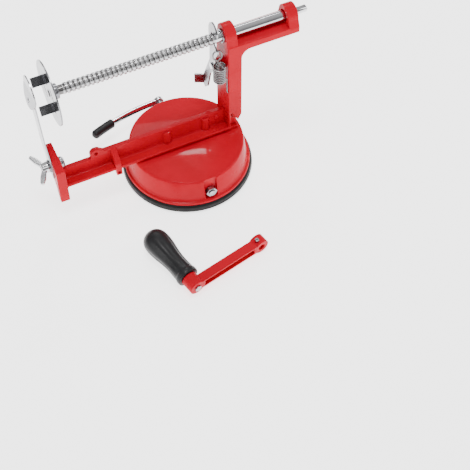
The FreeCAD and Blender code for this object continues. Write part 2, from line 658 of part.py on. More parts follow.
def lever_pivot():
    """Shouldered rivet that the release lever turns on."""
    centre = (cell("pivot_y"), cell("pivot_z"))
    left = cell("lever_left")
    return keep(fuse("rivet", [
        rod("rivet_shank", "x", centre, cell("pivot_radius"), (left - 0.2, cell("column_left") + 3.0)),
        rod("rivet_head", "x", centre, 3.2, (left - 1.4, left - 0.2)),
    ]), "lever_pivot")


def return_spring():
    """Envelope of the extension spring: coil tube, leaning top loop and bottom hook."""
    x, y = cell("coil_x"), cell("coil_y")
    radius, wire = cell("coil_radius"), cell("wire_radius")
    low, high, rest = cell("coil_low"), cell("coil_high"), cell("hook_z")
    side = x + radius - wire
    thin = wire - 0.1
    drop_x = cell("column_left") - wire - 0.1
    lean = math.radians(SIZES["loop_lean"])
    neck_y = cell("loop_y") - cell("loop_radius") * math.sin(lean)
    neck_z = cell("loop_z") - cell("loop_radius") * math.cos(lean)
    tube = cut("coil_tube", rod("coil_outer", "z", (x, y), radius, (low, high)),
               [rod("coil_inner", "z", (x, y), radius - wire * 2.0, (low - 1.0, high + 1.0))])
    loop = doc.addObject("Part::Torus", "coil_loop")
    bind(loop, "Radius1", cell("loop_radius"))
    bind(loop, "Radius2", wire)
    leaning = FreeCAD.Rotation(V(1, 0, 0), -SIZES["loop_lean"]).multiply(TURN_Z_TO_Y)
    place(loop, x, cell("loop_y"), cell("loop_z"), leaning)
    return keep(fuse("spring", [
        tube,
        loop,
        rod("coil_bridge", "x", (neck_y, high - thin), wire, (x - radius + 2.0, x + radius - 2.0)),
        rod("coil_neck", "z", (x, neck_y), thin, (high - wire, neck_z)),
        rod("hook_shoulder", "x", (y, low + wire + 0.1), wire, (side, drop_x + wire)),
        rod("hook_drop", "z", (drop_x, y), thin, (rest, low + wire)),
        rod("hook_reach", "x", (y, rest), wire, (drop_x - wire, cell("column_left") + 2.6)),
    ]), "return_spring")


# ---------------------------------------------------------------------- crank
# The crank lies beside the machine.  It is built with its grip boss on the Y axis,
# its arm along +X and the grip along +Y, and is then laid down in place.

def lay_down(thing):
    yaw = FreeCAD.Rotation(V(0, 0, 1), SIZES["crank_yaw"])
    tilt = FreeCAD.Rotation(V(1, 0, 0), SIZES["crank_tilt"])
    roll = FreeCAD.Rotation(V(0, 1, 0), SIZES["crank_roll"])
    spot = V(SIZES["crank_x"], SIZES["crank_y"], SIZES["crank_z"])
    thing.Placement = FreeCAD.Placement(spot, yaw * tilt * roll).multiply(thing.Placement)
    return thing


def crank_arm():
    """Channel-section arm with a grip boss at one end and a bored hub at the other."""
    reach, depth, tall = cell("crank_reach"), cell("arm_depth"), cell("arm_tall")
    half = tall * 0.5
    radius = cell("hub_radius")
    blank = fuse("crank_blank", [
        box("crank_bar", (0.0, reach), (0.0, depth), (-half, half)),
        rod("crank_boss", "y", (0.0, 0.0), radius, (0.0, cell("boss_length"))),
        rod("crank_hub", "y", (reach, 0.0), radius, (0.0, depth + 1.0)),
    ])
    done = cut("crank_casting", blank, [
        box("crank_channel", (radius + 1.0, reach - radius - 0.6), (-1.0, depth - 4.0),
            (-half + 2.0, half - 2.0)),
        rod("crank_bore", "y", (reach, 0.0), cell("stub_fit"), (-1.0, depth + 2.0)),
        rod("crank_pin_hole", "y", (0.0, 0.0), cell("pin_radius"), (-1.0, 20.0)),
        rod("set_screw_hole", "z", (reach - 2.6, 4.6), 1.9, (3.2, 10.0)),
    ])
    return keep(lay_down(done), "crank_arm")


def crank_set_screw():
    reach = cell("crank_reach")
    body = rod("set_screw_body", "z", (reach - 2.6, 4.6), 1.9, (3.3, 9.2))
    return keep(lay_down(cut("set_screw", body, [
        box("set_screw_slot", (reach - 5.0, reach), (4.2, 5.0), (8.2, 10.0))])), "crank_set_screw")


def grip_rivet():
    """Steel pin through the boss, headed at its outer end, that the grip spins on."""
    pieces = [
        rod("grip_pin", "y", (0.0, 0.0), cell("pin_radius"), (-0.2, 66.0)),
        rod("grip_pin_head", "y", (0.0, 0.0), 3.2, (-1.4, 0.0)),
    ]
    return keep(lay_down(fuse("grip_pin_done", pieces)), "grip_rivet")


def crank_grip():
    """Pear-shaped handle, narrow at the boss and full at the far end."""
    start = cell("boss_length") + 0.4
    bore = cell("pin_radius") + 0.06
    thing = turned("grip_turned", [
        (bore, start), (9.2, start), (10.2, start + 1.0), (10.4, start + 4.0), (9.7, start + 10.0),
        (9.3, start + 16.0), (9.6, start + 22.0), (10.4, start + 29.0), (11.4, start + 35.0),
        (12.0, start + 41.0), (12.1, start + 45.5), (11.6, start + 50.0), (10.1, start + 53.6),
        (7.4, start + 56.6), (3.8, start + 58.2), (0.0, start + 58.6), (0.0, start + 54.4),
        (bore, start + 54.4)])
    thing.Placement = FreeCAD.Placement(V(0, 0, 0), TURN_Z_TO_Y)
    return keep(lay_down(thing), "crank_grip")


def check(things):
    """Stop unless every object is good and every sub-part is one or more valid solids."""
    for thing in doc.Objects:
        bad = [word for word in thing.State if word in ("Invalid", "Error")]
        if bad:
            raise RuntimeError("%s is %s" % (thing.Name, bad))
    for thing in things:
        shape = thing.Shape
        if shape.isNull() or not shape.isValid() or not shape.Solids:
            raise RuntimeError("%s has no valid solid" % thing.Label)
        print("%-18s solids %d  volume %9.1f" % (thing.Label, len(shape.Solids), shape.Volume))


for make in (base_housing, suction_cup, cup_stud, cam_shaft, shaft_nut, suction_lever, lever_cap,
             base_screws, frame_casting, front_bush, blade_bolt, blade, bolt_washer, wing_nut,
             spindle_rod, holder_disc, holder_washer, release_lever, lever_pivot, return_spring,
             crank_arm, crank_set_screw, grip_rivet, crank_grip):
    make()

doc.recompute()
check(PARTS)
os.makedirs("parts", exist_ok=True)
for sub_part in PARTS:
    sub_part.Shape.exportStep("parts/%s.step" % sub_part.Label)
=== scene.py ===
import bmesh
import bpy
import json
import math
from mathutils import Matrix, Vector


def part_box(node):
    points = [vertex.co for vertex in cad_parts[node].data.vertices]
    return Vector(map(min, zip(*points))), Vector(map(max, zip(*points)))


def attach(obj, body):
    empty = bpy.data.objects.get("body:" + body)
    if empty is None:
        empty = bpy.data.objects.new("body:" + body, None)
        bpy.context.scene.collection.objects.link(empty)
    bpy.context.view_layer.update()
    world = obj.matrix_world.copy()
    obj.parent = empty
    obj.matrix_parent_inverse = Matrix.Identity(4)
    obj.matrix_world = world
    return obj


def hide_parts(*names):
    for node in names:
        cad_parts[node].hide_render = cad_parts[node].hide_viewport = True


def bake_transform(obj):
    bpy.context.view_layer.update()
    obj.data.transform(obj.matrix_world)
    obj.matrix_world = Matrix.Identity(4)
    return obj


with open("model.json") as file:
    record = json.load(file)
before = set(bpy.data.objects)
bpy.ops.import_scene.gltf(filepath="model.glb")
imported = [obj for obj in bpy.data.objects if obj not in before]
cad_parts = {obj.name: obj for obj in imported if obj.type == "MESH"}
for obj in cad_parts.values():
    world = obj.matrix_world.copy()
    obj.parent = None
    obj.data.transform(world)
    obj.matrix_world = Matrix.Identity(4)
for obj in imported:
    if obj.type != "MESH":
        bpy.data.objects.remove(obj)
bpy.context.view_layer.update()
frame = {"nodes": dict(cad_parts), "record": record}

MM = 0.001
NODES = frame["nodes"]


def middle(node):
    """Centre of a CAD node's box."""
    low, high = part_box(node)
    return (Vector(low) + Vector(high)) / 2


# Axes that the turned pieces share
SPINDLE = middle("spindle_rod")
BOLT = middle("bolt_washer")
SHAFT_Z = middle("shaft_nut").z

# Degrees: bevelled sheet parts keep every edge steeper than this sharp
SHEET_ANGLE = 13

# Red paint: thin and full coats, painted highlight on edges, and painted shade in inner corners
ENAMEL_THIN, ENAMEL_FULL = (0.47, 0.0010, 0.0125), (0.54, 0.0018, 0.0170)
ENAMEL_EDGE_HIGHLIGHT, ENAMEL_CORNER = (0.78, 0.030, 0.050), (0.20, 0.0006, 0.0050)

# Noise scale on each axis: even, or low on the axis that the grain is drawn out along
EVEN, ALONG_X, ALONG_Z = (1, 1, 1), (0.2, 1, 1), (1, 1, 0.06)

# Painted shade on the spindle's plating down at the thread's root
GROOVE_SHADE = (0.15, 0.145, 0.145)

# Camera in metres and degrees: down from level, and turned from facing along Y
LENS_MM, SENSOR_MM = 84.3, 36.0
CAMERA_SPOT = (-0.2487, -0.6300, 0.8144)
CAMERA_DOWN, CAMERA_TURN = 54.1, -25.4
FLOOR_SIZE, FLOOR_DROP, FLOOR_GLOW = 60.0, 0.0002, 2.4
WORLD_DARK, WORLD_LIGHT = 0.20, 0.80
WORLD_UP = (0.25, 0.25, 0.9)

# Area lights: name, place, aim, width and height in metres, and watts
SOFTBOXES = (
    ("sheen", (0.345, 0.825, 1.21), (0.0, -0.016, 0.034), (0.21, 0.04), 2.2),
    ("haze", (0.33, 0.96, 1.08), (0.0, 0.0, 0.034), (0.6, 0.12), 2.4),
    ("left_card", (-1.2, -0.1, 0.55), (-0.1, 0, 0.09), (0.35, 0.5), 3.0),
    ("overhead", (-0.1, -0.1, 1.5), (0, 0, 0.05), (0.5, 0.35), 11.5),
    ("right_card", (1.1, -0.35, 0.75), (0, 0, 0.08), (0.4, 0.7), 3.6),
    ("front_card", (-0.25, -1.1, 1.1), (0, -0.05, 0.02), (0.6, 0.3), 2.5),
)

# ------------------------------------------------------------------ materials


def shader(name):
    """A new material, its node tree and its main shader node."""
    made = bpy.data.materials.new(name)
    made.use_nodes = True
    tree = made.node_tree
    return made, tree, tree.nodes["Principled BSDF"]


def noise(tree, scale, stretch=EVEN, detail=4.0, rough=0.55):
    """Noise in object space; returns its factor socket."""
    where = tree.nodes.new("ShaderNodeTexCoord")
    mapping = tree.nodes.new("ShaderNodeMapping")
    mapping.inputs["Scale"].default_value = stretch
    tree.links.new(where.outputs["Object"], mapping.inputs["Vector"])
    texture = tree.nodes.new("ShaderNodeTexNoise")
    texture.inputs["Scale"].default_value = scale
    texture.inputs["Detail"].default_value = detail
    texture.inputs["Roughness"].default_value = rough
    tree.links.new(mapping.outputs["Vector"], texture.inputs["Vector"])
    return texture.outputs["Fac"]


def ramp(tree, factor, low, high, start=0.35, end=0.65):
    """Maps a factor to a value or colour between low and high."""
    node = tree.nodes.new("ShaderNodeValToRGB")
    stops = node.color_ramp.elements
    for stop, place, value in ((stops[0], start, low), (stops[1], end, high)):
        stop.position = place
        stop.color = (*value, 1) if isinstance(value, tuple) else (value, value, value, 1)
    tree.links.new(factor, node.inputs["Fac"])
    return node.outputs["Color"]


def edges(tree, low=0.52, high=0.60):
    """Pointiness between low and high as 0 to 1; flats are 0.5, edges more and inner corners less."""
    geometry = tree.nodes.new("ShaderNodeNewGeometry")
    return ramp(tree, geometry.outputs["Pointiness"], 0.0, 1.0, low, high)


def blend(tree, factor, first, second):
    """Mix two colours by a factor socket."""
    node = tree.nodes.new("ShaderNodeMix")
    node.data_type = "RGBA"
    tree.links.new(factor, node.inputs["Factor"])
    for socket, value in (("A", first), ("B", second)):
        target = [item for item in node.inputs if item.name == socket and item.type == "RGBA"][0]
        if isinstance(value, tuple):
            target.default_value = (*value, 1)
        else:
            tree.links.new(value, target)
    return [item for item in node.outputs if item.type == "RGBA"][0]


def bump(tree, bsdf, heights):
    """Chain of bumps; heights is a list of (factor socket, strength, distance)."""
    last = None
    for factor, strength, distance in heights:
        node = tree.nodes.new("ShaderNodeBump")
        node.inputs["Strength"].default_value = strength
        node.inputs["Distance"].default_value = distance
        tree.links.new(factor, node.inputs["Height"])
        if last is not None:
            tree.links.new(last, node.inputs["Normal"])
        last = node.outputs["Normal"]
    tree.links.new(last, bsdf.inputs["Normal"])


def enamel():
    """Glossy sprayed red: orange peel, a painted highlight on edges and painted shade in inner corners.
    """
    made, tree, bsdf = shader("red_enamel")
    clouds = ramp(tree, noise(tree, 28, detail=3), ENAMEL_THIN, ENAMEL_FULL)
    # Painted highlight: edges lightened towards a paler red
    edge_highlight = blend(tree, edges(tree, 0.53, 0.62), clouds, ENAMEL_EDGE_HIGHLIGHT)
    # Painted shade: inner corners darkened towards a deep red
    shaded = blend(tree, edges(tree, 0.42, 0.495), ENAMEL_CORNER, edge_highlight)
    tree.links.new(shaded, bsdf.inputs["Base Color"])
    tree.links.new(ramp(tree, noise(tree, 90), 0.24, 0.36), bsdf.inputs["Roughness"])
    bsdf.inputs["Specular IOR Level"].default_value = 0.03
    bsdf.inputs["Coat Weight"].default_value = 0.07
    bsdf.inputs["Coat Roughness"].default_value = 0.035
    peel, waves = noise(tree, 420, detail=2), noise(tree, 70, detail=2)
    bump(tree, bsdf, [(peel, 0.05, 0.0006), (waves, 0.06, 0.002)])
    return made


def metal(name, light, dark, rough, grain_scale, stretch, scratch, hollow_shade=0.45):
    """Bare or plated metal: grain, fine marks, duller patches, a painted highlight on edges and painted
    shade in hollows.
    """
    made, tree, bsdf = shader(name)
    bsdf.inputs["Metallic"].default_value = 1.0
    tone = ramp(tree, noise(tree, 45, detail=3), dark, light)
    # Painted highlight: edges lightened past the light tone
    tone = blend(tree, edges(tree), tone, tuple(min(1.0, part * 1.25) for part in light))
    # Painted shade: hollows darkened towards a fraction of the dark tone
    painted_shade_mask = edges(tree, 0.40, 0.49)
    tone = blend(tree, painted_shade_mask, tuple(part * hollow_shade for part in dark), tone)
    tree.links.new(tone, bsdf.inputs["Base Color"])
    polish = ramp(tree, noise(tree, 130, detail=5), rough * 0.75, rough * 1.35)
    tree.links.new(polish, bsdf.inputs["Roughness"])
    bump(tree, bsdf, [(noise(tree, grain_scale, stretch, detail=6), scratch, 0.0002)])
    return made


def grooved(name, root, crest):
    """The spindle's plating where it is threaded, with painted shade from the crest radius in to the
    root.
    """
    made = metal(name, (0.52, 0.52, 0.53), (0.43, 0.43, 0.44), rough=0.26,
                 grain_scale=300, stretch=ALONG_X, scratch=0.03, hollow_shade=0.6)
    tree = made.node_tree
    bsdf = tree.nodes["Principled BSDF"]
    where = tree.nodes.new("ShaderNodeTexCoord")
    shift = tree.nodes.new("ShaderNodeVectorMath")
    shift.operation = "SUBTRACT"
    shift.inputs[1].default_value = (0.0, SPINDLE.y, SPINDLE.z)
    flat = tree.nodes.new("ShaderNodeVectorMath")
    flat.operation = "MULTIPLY"
    flat.inputs[1].default_value = (0.0, 1.0, 1.0)
    size = tree.nodes.new("ShaderNodeVectorMath")
    size.operation = "LENGTH"
    depth = tree.nodes.new("ShaderNodeMapRange")
    depth.inputs["From Min"].default_value = root * MM
    depth.inputs["From Max"].default_value = crest * MM
    tree.links.new(where.outputs["Object"], shift.inputs[0])
    tree.links.new(shift.outputs["Vector"], flat.inputs[0])
    tree.links.new(flat.outputs["Vector"], size.inputs[0])
    tree.links.new(size.outputs["Value"], depth.inputs["Value"])
    plated = bsdf.inputs["Base Color"].links[0].from_socket
    # Painted shade: plating darkened from the crest radius in to the root
    shaded = blend(tree, depth.outputs["Result"], GROOVE_SHADE, plated)
    tree.links.new(shaded, bsdf.inputs["Base Color"])
    return made


def rubber():
    """Matt moulded rubber: cloudy tone, a slight painted highlight on edges and a fine grain."""
    made, tree, bsdf = shader("black_rubber")
    tone = ramp(tree, noise(tree, 60, detail=6), (0.006, 0.006, 0.006), (0.012, 0.012, 0.012))
    # Painted highlight: edges lightened to a paler grey
    tree.links.new(blend(tree, edges(tree), tone, (0.022, 0.022, 0.022)), bsdf.inputs["Base Color"])
    tree.links.new(ramp(tree, noise(tree, 180), 0.42, 0.60), bsdf.inputs["Roughness"])
    bsdf.inputs["Specular IOR Level"].default_value = 0.18
    bump(tree, bsdf, [(noise(tree, 900, detail=3), 0.12, 0.0004)])
    return made


def plastic(name, tone, rough, grain):
    """Moulded plastic: cloudy tone, uneven gloss and a fine mould texture."""
    made, tree, bsdf = shader(name)
    bsdf.inputs["Specular IOR Level"].default_value = 0.2
    low = tuple(part * 0.8 for part in tone)
    high = tuple(part * 1.25 for part in tone)
    tree.links.new(ramp(tree, noise(tree, 35, detail=4), low, high), bsdf.inputs["Base Color"])
    tree.links.new(ramp(tree, noise(tree, 120), rough * 0.85, rough * 1.2), bsdf.inputs["Roughness"])
    texture, waves = noise(tree, grain, detail=3), noise(tree, 60, detail=2)
    bump(tree, bsdf, [(texture, 0.10, 0.0003), (waves, 0.05, 0.001)])
    return made


FINISHES = {
    "red_enamel": enamel(),
    "black_rubber": rubber(),
    "zinc_steel": metal("zinc_steel", (0.33, 0.33, 0.34), (0.22, 0.22, 0.24), rough=0.24,
                        grain_scale=700, stretch=EVEN, scratch=0.06),
    "chrome": metal("chrome", (0.62, 0.62, 0.63), (0.52, 0.52, 0.54), rough=0.13,
                    grain_scale=300, stretch=ALONG_X, scratch=0.03, hollow_shade=0.25),
    "blade_steel": metal("blade_steel", (0.26, 0.26, 0.27), (0.17, 0.17, 0.19), rough=0.20,
                         grain_scale=900, stretch=ALONG_Z, scratch=0.07),
    "spring_steel": metal("spring_steel", (0.26, 0.25, 0.25), (0.16, 0.15, 0.16), rough=0.24,
                          grain_scale=800, stretch=EVEN, scratch=0.05, hollow_shade=0.3),
    "black_grip": plastic("black_grip", (0.013, 0.013, 0.014), rough=0.38, grain=700),
    "black_plastic": plastic("black_plastic", (0.014, 0.014, 0.015), rough=0.34, grain=1100),
}
SLOT_OF = {row["node"]: row["material_slot"] for row in frame["record"]["subparts"]}
BODIES = frame["record"]["behaviour"]["bodies"]
BODY_OF = {node: body for body, nodes in BODIES.items() for node in nodes}


def dress(thing, slot):
    """Gives an object its slot's finish and no other."""
    thing.data.materials.clear()
    thing.data.materials.append(FINISHES[slot])


def smooth(mesh, degrees):
    """Smooth shading that stays sharp across edges steeper than the angle."""
    work = bmesh.new()
    work.from_mesh(mesh)
    limit = math.radians(degrees)
    for face in work.faces:
        face.smooth = True
    for edge in work.edges:
        edge.smooth = len(edge.link_faces) != 2 or edge.calc_face_angle(0.0) < limit
    work.to_mesh(mesh)
    work.free()


def stand_in(name, mesh, slot, degrees):
    """A new smooth-shaded object in a slot's finish."""
    mesh.name = name
    thing = bpy.data.objects.new(name, mesh)
    bpy.context.scene.collection.objects.link(thing)
    smooth(mesh, degrees)
    dress(thing, slot)
    return thing


def piece(name, mesh, node, degrees=35):
    """A new object that stands for a CAD node, rides on its body and takes its finish."""
    thing = stand_in(name, mesh, SLOT_OF[node], degrees)
    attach(thing, BODY_OF[node])
    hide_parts(node)
    return thing


# --------------------------------------------------------------- mesh helpers


def finished(thing):
    """The object's mesh with its modifiers applied; the object itself is removed."""
    bpy.context.view_layer.update()
    graph = bpy.context.evaluated_depsgraph_get()
    mesh = bpy.data.meshes.new_from_object(thing.evaluated_get(graph))
    bpy.data.objects.remove(thing)
    return mesh


def scratch_object(mesh):
    """A passing object to hang modifiers on."""
    thing = bpy.data.objects.new("scratch", mesh)
    bpy.context.scene.collection.objects.link(thing)
    return thing


def remeshed(mesh, voxel, rounds):
    """Joins everything into one skin, then rounds its edges and corners."""
    thing = scratch_object(mesh)
    skin = thing.modifiers.new("skin", "REMESH")
    skin.mode = "VOXEL"
    skin.voxel_size = voxel * MM
    skin.adaptivity = 0.0
    relax = thing.modifiers.new("relax", "SMOOTH")
    relax.factor = 0.5
    relax.iterations = rounds
    return finished(thing)


def softened(node, width, segments=2):
    """A copy of a CAD node with its hard edges rounded over by a width in millimetres."""
    weld, flat_angle, corner_angle = 0.005, math.radians(1.0), math.radians(40)
    mesh = NODES[node].data.copy()
    work = bmesh.new()
    work.from_mesh(mesh)
    bmesh.ops.remove_doubles(work, verts=work.verts, dist=weld * MM)
    bmesh.ops.dissolve_limit(work, angle_limit=flat_angle, verts=work.verts, edges=work.edges)
    work.to_mesh(mesh)
    work.free()
    thing = scratch_object(mesh)
    round_over = thing.modifiers.new("round_over", "BEVEL")
    round_over.width = width * MM
    round_over.segments = segments
    round_over.limit_method = "ANGLE"
    round_over.angle_limit = corner_angle
    round_over.use_clamp_overlap = True
    return finished(thing)


def from_grid(rows, cap=True):
    """A tube from closed rings of points; cap closes its two ends with fans."""
    work = bmesh.new()
    rings = [[work.verts.new(point) for point in row] for row in rows]
    count = len(rings[0])
    for low, high in zip(rings, rings[1:]):
        for i in range(count):
            after = (i + 1) % count
            work.faces.new((low[i], low[after], high[after], high[i]))
    if cap:
        for ring in (rings[0], rings[-1]):
            centre = work.verts.new(sum((vert.co for vert in ring), Vector()) / count)
            for i in range(count):
                work.faces.new((ring[i], ring[(i + 1) % count], centre))
    bmesh.ops.recalc_face_normals(work, faces=work.faces)
    mesh = bpy.data.meshes.new("grid")
    work.to_mesh(mesh)
    work.free()
    return mesh


def clamp(value):
    """The value kept between 0 and 1."""
    return min(1.0, max(0.0, value))


def fillet(points, steps=5):
    """Corner points (u, v, radius) turned into an outline with rounded corners."""
    outline = []
    count = len(points)
    for i, (u, v, radius) in enumerate(points):
        here = Vector((u, v))
        if radius <= 0:
            outline.append(here)
            continue
        before = (Vector(points[i - 1][:2]) - here).normalized()
        after = (Vector(points[(i + 1) % count][:2]) - here).normalized()
        half = before.angle(after) / 2
        reach = radius / math.tan(half)
        centre = here + (before + after).normalized() * (radius / math.sin(half))
        first = here + before * reach - centre
        turn = first.angle_signed(here + after * reach - centre)
        for step in range(steps + 1):
            arm = first.copy()
            arm.rotate(Matrix.Rotation(-turn * step / steps, 2))
            outline.append(centre + arm)
    return outline


def lathe(outline, steps, place, ripple=None):
    """Turns (radius, height) points round Z and closes both ends; ripple adds to the radius."""
    rows = []
    for radius, height in outline:
        ring = []
        for i in range(steps):
            angle = 2 * math.pi * i / steps
            size = radius + (ripple(angle, height) if ripple else 0.0)
            point = Vector((size * math.cos(angle), size * math.sin(angle), height)) * MM
            ring.append(place @ point)
        rows.append(ring)
    return from_grid(rows)


def lathe_ring(outline, steps, place):
    """A turned ring; its outline is a loop away from the axis and closes itself."""
    rows = []
    for i in range(steps):
        angle = 2 * math.pi * i / steps
        c, s = math.cos(angle), math.sin(angle)
        rows.append([place @ (Vector((r * c, r * s, h)) * MM) for r, h in outline])
    rows.append(rows[0])
    mesh = from_grid(rows, cap=False)
    work = bmesh.new()
    work.from_mesh(mesh)
    bmesh.ops.remove_doubles(work, verts=work.verts, dist=0.001 * MM)
    work.to_mesh(mesh)
    work.free()
    return mesh


def spline_through(points, parts):
    """Catmull-Rom curve through the points, with each span cut into parts."""
    result = []
    count = len(points)
    for i in range(count - 1):
        a, b, c, d = (Vector(points[max(0, min(count - 1, i + k))]) for k in (-1, 0, 1, 2))
        for step in range(parts):
            t = step / parts
            square = (2 * a - 5 * b + 4 * c - d) * t * t
            cube = (3 * b - a - 3 * c + d) * t ** 3
            result.append(0.5 * (2 * b + (c - a) * t + square + cube))
    result.append(Vector(points[-1]))
    return result


def join(*meshes):
    """One mesh that holds all the given ones."""
    work = bmesh.new()
    for mesh in meshes:
        work.from_mesh(mesh)
    mesh = bpy.data.meshes.new("joined")
    work.to_mesh(mesh)
    work.free()
    return mesh


def wire_through(points, radius):
    """A round wire through points in millimetres."""
    curve = bpy.data.curves.new("wire", "CURVE")
    curve.dimensions = "3D"
    curve.bevel_depth = radius * MM
    curve.bevel_resolution = 4
    curve.use_fill_caps = True
    spline = curve.splines.new("POLY")
    spline.points.add(len(points) - 1)
    for target, point in zip(spline.points, points):
        target.co = (*(part * MM for part in point), 1)
    thing = bpy.data.objects.new("wire", curve)
    bpy.context.scene.collection.objects.link(thing)
    return finished(thing)


def carve(mesh, cutters):
    """The mesh with the cutter meshes taken away."""
    thing = scratch_object(mesh)
    tools = []
    for cutter in cutters:
        tool = scratch_object(cutter)
        tools.append(tool)
        away = thing.modifiers.new("away", "BOOLEAN")
        away.operation = "DIFFERENCE"
        away.solver = "EXACT"
        away.object = tool
    result = finished(thing)
    for tool in tools:
        bpy.data.objects.remove(tool)
    return result


def bar_between(outline, start, end, place):
    """An outline in the YZ plane pushed along X, in millimetres."""
    rows = [[place @ (Vector((x, u, v)) * MM) for u, v in outline] for x in (start, end)]
    return from_grid(rows)


HERE = Matrix.Identity(4)
Z_TO_X = Matrix.Rotation(math.radians(90), 4, "Y")
Z_TO_Y = Matrix.Rotation(math.radians(-90), 4, "X")


def along_x(centre):
    """Places a lathe's Z axis along X through a point's y and z."""
    return Matrix.Translation((0, centre.y, centre.z)) @ Z_TO_X


# --------------------------------------------------------------- suction base
# Outlines are (radius or across, height, corner radius) in millimetres.

ALONG_SHAFT = Matrix.Translation((0, 0, SHAFT_Z)) @ Z_TO_Y
BASE_STEPS = 160


def build_base():
    """Turned cap with a notch for the front nut and a bore for the shaft, and the rubber pad."""
    top, wall, foot = 34.3, 3.0, 8.8
    crown, skirt, flange, inside = 53.6, 56.4, 59.7, 50.0
    outline = fillet([
        (0.0, top, 0), (crown, top, 2.3), (skirt, 14.4, 2.2), (57.4, 11.9, 0.8), (59.4, 11.4, 0.9),
        (flange, foot, 0.5), (inside, foot, 0.5), (inside, top - wall, 2.0), (0.0, top - wall, 0)])
    shell = lathe(outline, BASE_STEPS, HERE)

    half, low, high, near, far = 6.2, 12.4, 36.0, 52.6, 64.0
    notch = fillet([(-half, low, 0.8), (half, low, 0.8), (half, high, 0), (-half, high, 0)])
    recess = bar_between(notch, near, far, Matrix.Rotation(math.radians(-90), 4, "Z"))
    bore_radius, bore_reach = 3.3, 75.0
    bore = lathe([(bore_radius, -bore_reach), (bore_radius, bore_reach)], 40, ALONG_SHAFT)
    piece("housing_shell", carve(shell, [recess, bore]), "base_housing", 30)

    bulge, seat, web, boss = 62.0, 8.6, 3.4, 4.6
    rim = fillet([
        (0.0, 0.0, 0), (59.9, 0.0, 1.2), (bulge, 2.6, 1.8), (61.2, 7.2, 1.6), (59.6, seat, 0.8),
        (52.0, seat, 0.8), (49.0, web, 1.0), (15.0, web, 0.8), (14.0, boss, 0.5), (0.0, boss, 0)])
    piece("rubber_rim", lathe(rim, BASE_STEPS, HERE), "suction_cup", 40)


def build_lever():
    """Flat chrome bar bent round the base, its eye, and the dipped cap on its end."""
    thick, height, reach, early = 3.0, 6.4, 74.0, 1.0
    bend, offset, shaft_back, inset = 200.0, 6.0, 70.0, 1.6
    ring_steps, bar_steps, cap_steps = 28, 30, 32
    centre = Vector((offset, shaft_back - inset - bend))
    tilt = Matrix.Rotation(math.radians(1.5), 4, "Y")
    tilted = Matrix.Translation((0, 0, SHAFT_Z)) @ tilt @ Matrix.Translation((0, 0, -SHAFT_Z))

    def ring(distance, wide, tall, sharp):
        """A rounded-rectangle section of the bar at a distance from its start."""
        angle = math.radians(90) + (distance + offset) / bend
        out = Vector((math.cos(angle), math.sin(angle)))
        points = []
        for step in range(ring_steps):
            around = 2 * math.pi * step / ring_steps
            c, s = math.cos(around), math.sin(around)
            u = math.copysign(abs(c) ** sharp, c) * wide / 2
            v = math.copysign(abs(s) ** sharp, s) * tall / 2
            spot = centre + out * (bend + u)
            points.append(tilted @ (Vector((spot.x, spot.y, SHAFT_Z / MM + v)) * MM))
        return points

    rows = []
    for step in range(bar_steps + 1):
        rows.append(ring(-early + step * (reach + early) / bar_steps, thick, height, 0.35))
    inner, outer, near, far = 3.25, 4.8, 66.6, 70.2
    eye = fillet([(inner, near, 0.2), (outer, near, 0.5), (outer, far, 0.5), (inner, far, 0.2)])
    bar = join(from_grid(rows), lathe(eye, 48, ALONG_SHAFT))
    piece("lever_bar", bar, "suction_lever", 40)

    cap_past, cap_length, cap_wide, cap_tall = 3.0, 24.8, 7.6, 8.4
    dome_share, lip_share = 0.16, 0.03
    rows = []
    for step in range(cap_steps + 1):
        along = step / cap_steps
        distance = reach + cap_past - cap_length * (1 - along)
        dome = max(0.0, (along - (1 - dome_share)) / dome_share)
        size = min(1.0, math.sqrt(max(0.0, 1 - dome ** 2)) + 0.02)
        lip = 0.90 + 0.10 * min(1.0, along / lip_share)
        rows.append(ring(distance, cap_wide * size * lip, cap_tall * size * lip, 0.7))
    piece("lever_sleeve", from_grid(rows), "lever_cap", 50)


def build_shaft_end():
    """Front nut with chamfered corners, and the shaft's own end in it."""
    piece("front_nut", softened("shaft_nut", 0.45, 3), "shaft_nut", SHEET_ANGLE)
    piece("cam_axle", softened("cam_shaft", 0.5, 3), "cam_shaft", SHEET_ANGLE)


# -------------------------------------------------------------- frame casting


def build_casting():
    """The casting with its cast edges rounded over, and two small pips on the rail."""
    on_top = Matrix.Translation(Vector((27.0, -4.2, 38.2)) * MM)
    on_side = Matrix.Translation(Vector((31.5, 1.2, 48.0)) * MM) @ Z_TO_Y.inverted()
    pip = [(0.0, -1.0), (2.1, -1.0), (2.1, 0.6), (1.3, 1.0), (0.0, 1.1)]
    pips = [lathe(pip, 24, place) for place in (on_top, on_side)]
    blank = join(NODES["frame_casting"].data, *pips)
    piece("cast_frame", remeshed(blank, voxel=0.42, rounds=5), "frame_casting", 60)


# -------------------------------------------------------------------- spindle


